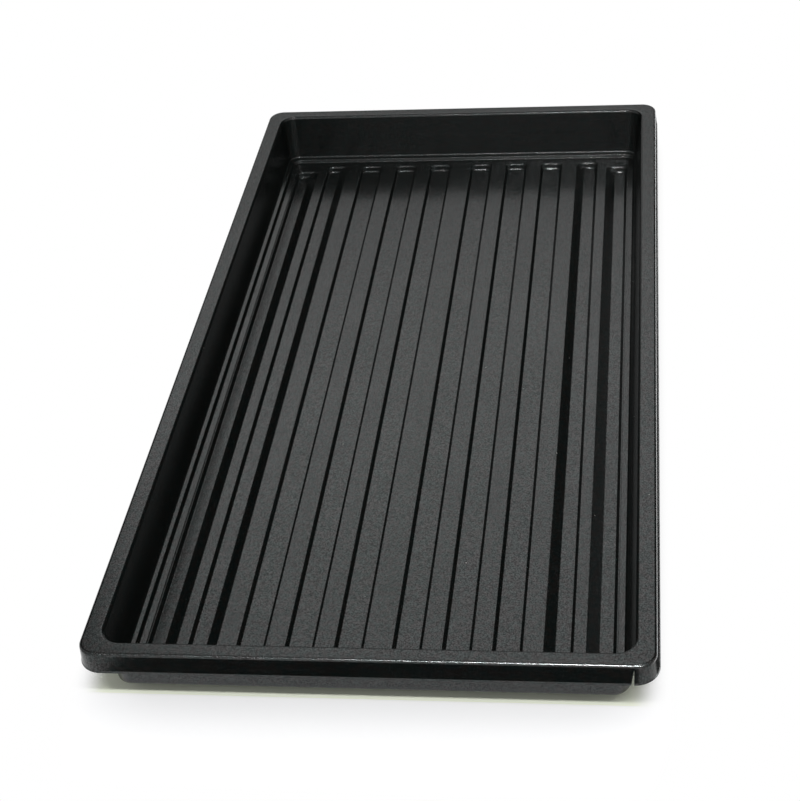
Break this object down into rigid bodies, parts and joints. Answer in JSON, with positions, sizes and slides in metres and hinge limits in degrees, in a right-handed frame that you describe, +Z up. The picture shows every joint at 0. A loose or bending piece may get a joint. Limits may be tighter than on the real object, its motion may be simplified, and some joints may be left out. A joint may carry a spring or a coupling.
{
  "type": "microgreen growing tray",
  "caption": "Shallow rectangular black plastic tray with a rolled rim, low walls and long grooves pressed into its floor, for growing microgreens and seedlings.",
  "frame": {"origin": "centre of the footprint, on the surface that the groove undersides stand on", "axes": "+Z up out of the tray, +Y along its long side, +X to the right seen from the end with the split in its skirt"},
  "size_m": [0.279, 0.54, 0.0381],
  "materials": {
    "tray_plastic": "black polystyrene sheet, satin, with a fine pebbled grain"
  },
  "bodies": {
    "root": {"growing_tray": "tray_plastic"}
  },
  "joints": []
}
